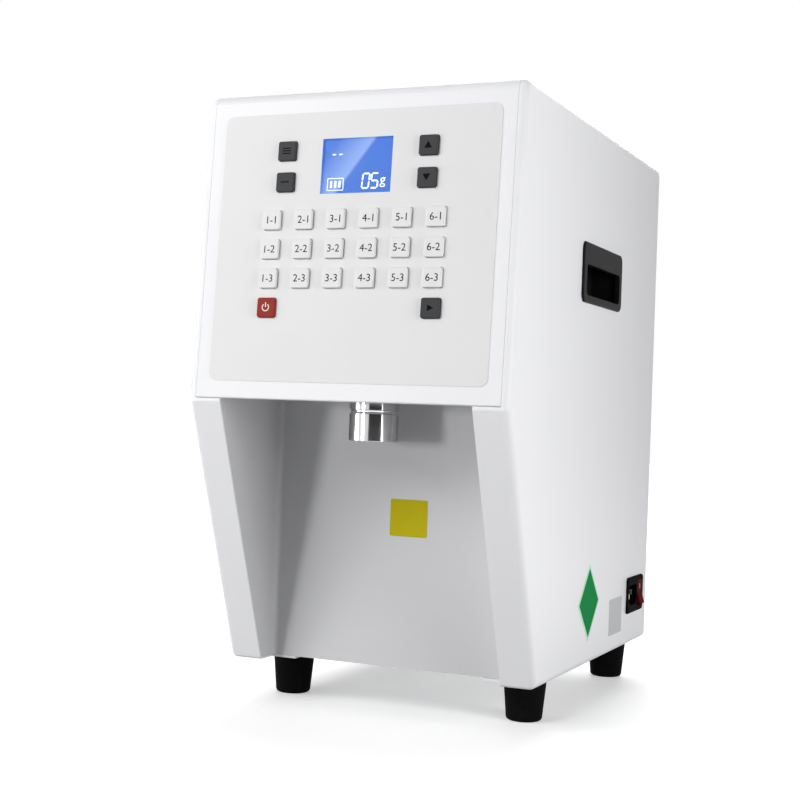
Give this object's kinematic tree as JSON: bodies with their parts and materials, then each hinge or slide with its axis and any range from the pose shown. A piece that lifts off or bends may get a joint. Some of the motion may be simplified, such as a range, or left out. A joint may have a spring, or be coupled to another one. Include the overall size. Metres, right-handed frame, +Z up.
{
  "type": "auger powder filler",
  "caption": "Counter-top powder filler: white steel cabinet with keypad and display, top hopper, auger feeding a short spout over an open bay, rubber feet.",
  "frame": {"origin": "on the floor under the middle of the cabinet", "axes": "+Z up, -Y towards the keypad front, +X to the right as seen by the user"},
  "size_m": [0.2463, 0.3768, 0.4482],
  "materials": {
    "white_paint": "fine powder coat",
    "overlay_grey": "matt printed sheet",
    "key_white": "satin",
    "key_grey": "satin",
    "key_red": "satin",
    "black_plastic": "moulded",
    "rocker_red": "glossy",
    "foot_rubber": "matt",
    "steel": "satin stainless",
    "polished_steel": "polished stainless",
    "zinc_sheet": "galvanised",
    "zinc_fastener": "zinc plated",
    "contact_brass": "nickel plated",
    "clear_lens": "clear",
    "lcd_blue": "backlit display",
    "board_green": "solder mask",
    "white_nylon": "moulded",
    "motor_black": "black paint",
    "supply_case": "satin"
  },
  "bodies": {
    "cabinet": {"side_panel_left": "white_paint", "side_panel_right": "white_paint", "front_panel": "white_paint", "top_panel": "white_paint", "rear_cover": "white_paint", "base_plate": "zinc_sheet", "bay_liner": "white_paint", "inner_deck": "white_paint", "rubber_feet": "foot_rubber", "cabinet_screws": "zinc_fastener", "handle_left": "black_plastic", "handle_right": "black_plastic", "power_inlet": "black_plastic", "inlet_blades": "contact_brass", "hinge_fixed_leaves": "steel", "hinge_pins": "steel", "keypad_overlay": "overlay_grey", "display_lens": "clear_lens", "lcd_module": "lcd_blue", "control_board": "board_green", "tact_switches": "black_plastic", "hopper": "steel", "auger_tube": "steel", "spout": "polished_steel", "tube_end_cap": "white_nylon", "wheel_axle": "steel", "shaft_bush": "white_nylon", "gear_motor": "motor_black", "motor_bracket": "zinc_sheet", "power_supply": "supply_case"},
    "lid": {"lid": "white_paint", "hinge_moving_leaves": "steel"},
    "rocker": {"power_rocker": "rocker_red"},
    "auger_drive": {"auger": "steel", "drive_shaft": "steel"},
    "agitator": {"star_wheel": "white_nylon"},
    "key_1_1": {"key_1_1": "key_white"},
    "key_1_2": {"key_1_2": "key_white"},
    "key_1_3": {"key_1_3": "key_white"},
    "key_2_1": {"key_2_1": "key_white"},
    "key_2_2": {"key_2_2": "key_white"},
    "key_2_3": {"key_2_3": "key_white"},
    "key_3_1": {"key_3_1": "key_white"},
    "key_3_2": {"key_3_2": "key_white"},
    "key_3_3": {"key_3_3": "key_white"},
    "key_4_1": {"key_4_1": "key_white"},
    "key_4_2": {"key_4_2": "key_white"},
    "key_4_3": {"key_4_3": "key_white"},
    "key_5_1": {"key_5_1": "key_white"},
    "key_5_2": {"key_5_2": "key_white"},
    "key_5_3": {"key_5_3": "key_white"},
    "key_6_1": {"key_6_1": "key_white"},
    "key_6_2": {"key_6_2": "key_white"},
    "key_6_3": {"key_6_3": "key_white"},
    "key_mode": {"key_mode": "key_grey"},
    "key_set": {"key_set": "key_grey"},
    "key_up": {"key_up": "key_grey"},
    "key_down": {"key_down": "key_grey"},
    "key_stop": {"key_stop": "key_red"},
    "key_start": {"key_start": "key_grey"}
  },
  "joints": [
    {"name": "lid_hinge", "type": "hinge", "parent": "cabinet", "child": "lid", "pos_m": [0, 0.0962, 0.4432], "axis": [-1, 0, 0], "range_deg": [0, 105]},
    {"name": "rocker_tip", "type": "hinge", "parent": "cabinet", "child": "rocker", "pos_m": [0.1176, 0.1563, 0.0735], "axis": [0, 1, 0], "range_deg": [0, 16]},
    {"name": "auger_spin", "type": "hinge", "parent": "cabinet", "child": "auger_drive", "pos_m": [0, -0.008, 0.2565], "axis": [0, 1, 0], "continuous": true},
    {"name": "agitator_spin", "type": "hinge", "parent": "cabinet", "child": "agitator", "pos_m": [0, -0.008, 0.3135], "axis": [1, 0, 0], "continuous": true},
    {"name": "key_1_1_press", "type": "slide", "parent": "cabinet", "child": "key_1_1", "axis": [0, 0.9978, -0.0664], "range_m": [0, 0.001], "stiffness_N_per_m": 600, "springref_m": -0.0005},
    {"name": "key_1_2_press", "type": "slide", "parent": "cabinet", "child": "key_1_2", "axis": [0, 0.9978, -0.0664], "range_m": [0, 0.001], "stiffness_N_per_m": 600, "springref_m": -0.0005},
    {"name": "key_1_3_press", "type": "slide", "parent": "cabinet", "child": "key_1_3", "axis": [0, 0.9978, -0.0664], "range_m": [0, 0.001], "stiffness_N_per_m": 600, "springref_m": -0.0005},
    {"name": "key_2_1_press", "type": "slide", "parent": "cabinet", "child": "key_2_1", "axis": [0, 0.9978, -0.0664], "range_m": [0, 0.001], "stiffness_N_per_m": 600, "springref_m": -0.0005},
    {"name": "key_2_2_press", "type": "slide", "parent": "cabinet", "child": "key_2_2", "axis": [0, 0.9978, -0.0664], "range_m": [0, 0.001], "stiffness_N_per_m": 600, "springref_m": -0.0005},
    {"name": "key_2_3_press", "type": "slide", "parent": "cabinet", "child": "key_2_3", "axis": [0, 0.9978, -0.0664], "range_m": [0, 0.001], "stiffness_N_per_m": 600, "springref_m": -0.0005},
    {"name": "key_3_1_press", "type": "slide", "parent": "cabinet", "child": "key_3_1", "axis": [0, 0.9978, -0.0664], "range_m": [0, 0.001], "stiffness_N_per_m": 600, "springref_m": -0.0005},
    {"name": "key_3_2_press", "type": "slide", "parent": "cabinet", "child": "key_3_2", "axis": [0, 0.9978, -0.0664], "range_m": [0, 0.001], "stiffness_N_per_m": 600, "springref_m": -0.0005},
    {"name": "key_3_3_press", "type": "slide", "parent": "cabinet", "child": "key_3_3", "axis": [0, 0.9978, -0.0664], "range_m": [0, 0.001], "stiffness_N_per_m": 600, "springref_m": -0.0005},
    {"name": "key_4_1_press", "type": "slide", "parent": "cabinet", "child": "key_4_1", "axis": [0, 0.9978, -0.0664], "range_m": [0, 0.001], "stiffness_N_per_m": 600, "springref_m": -0.0005},
    {"name": "key_4_2_press", "type": "slide", "parent": "cabinet", "child": "key_4_2", "axis": [0, 0.9978, -0.0664], "range_m": [0, 0.001], "stiffness_N_per_m": 600, "springref_m": -0.0005},
    {"name": "key_4_3_press", "type": "slide", "parent": "cabinet", "child": "key_4_3", "axis": [0, 0.9978, -0.0664], "range_m": [0, 0.001], "stiffness_N_per_m": 600, "springref_m": -0.0005},
    {"name": "key_5_1_press", "type": "slide", "parent": "cabinet", "child": "key_5_1", "axis": [0, 0.9978, -0.0664], "range_m": [0, 0.001], "stiffness_N_per_m": 600, "springref_m": -0.0005},
    {"name": "key_5_2_press", "type": "slide", "parent": "cabinet", "child": "key_5_2", "axis": [0, 0.9978, -0.0664], "range_m": [0, 0.001], "stiffness_N_per_m": 600, "springref_m": -0.0005},
    {"name": "key_5_3_press", "type": "slide", "parent": "cabinet", "child": "key_5_3", "axis": [0, 0.9978, -0.0664], "range_m": [0, 0.001], "stiffness_N_per_m": 600, "springref_m": -0.0005},
    {"name": "key_6_1_press", "type": "slide", "parent": "cabinet", "child": "key_6_1", "axis": [0, 0.9978, -0.0664], "range_m": [0, 0.001], "stiffness_N_per_m": 600, "springref_m": -0.0005},
    {"name": "key_6_2_press", "type": "slide", "parent": "cabinet", "child": "key_6_2", "axis": [0, 0.9978, -0.0664], "range_m": [0, 0.001], "stiffness_N_per_m": 600, "springref_m": -0.0005},
    {"name": "key_6_3_press", "type": "slide", "parent": "cabinet", "child": "key_6_3", "axis": [0, 0.9978, -0.0664], "range_m": [0, 0.001], "stiffness_N_per_m": 600, "springref_m": -0.0005},
    {"name": "key_mode_press", "type": "slide", "parent": "cabinet", "child": "key_mode", "axis": [0, 0.9978, -0.0664], "range_m": [0, 0.001], "stiffness_N_per_m": 600, "springref_m": -0.0005},
    {"name": "key_set_press", "type": "slide", "parent": "cabinet", "child": "key_set", "axis": [0, 0.9978, -0.0664], "range_m": [0, 0.001], "stiffness_N_per_m": 600, "springref_m": -0.0005},
    {"name": "key_up_press", "type": "slide", "parent": "cabinet", "child": "key_up", "axis": [0, 0.9978, -0.0664], "range_m": [0, 0.001], "stiffness_N_per_m": 600, "springref_m": -0.0005},
    {"name": "key_down_press", "type": "slide", "parent": "cabinet", "child": "key_down", "axis": [0, 0.9978, -0.0664], "range_m": [0, 0.001], "stiffness_N_per_m": 600, "springref_m": -0.0005},
    {"name": "key_stop_press", "type": "slide", "parent": "cabinet", "child": "key_stop", "axis": [0, 0.9978, -0.0664], "range_m": [0, 0.001], "stiffness_N_per_m": 600, "springref_m": -0.0005},
    {"name": "key_start_press", "type": "slide", "parent": "cabinet", "child": "key_start", "axis": [0, 0.9978, -0.0664], "range_m": [0, 0.001], "stiffness_N_per_m": 600, "springref_m": -0.0005}
  ],
  "couplings": [
    {"joint": "agitator_spin", "follows": "auger_spin", "ratio": -0.083333}
  ]
}
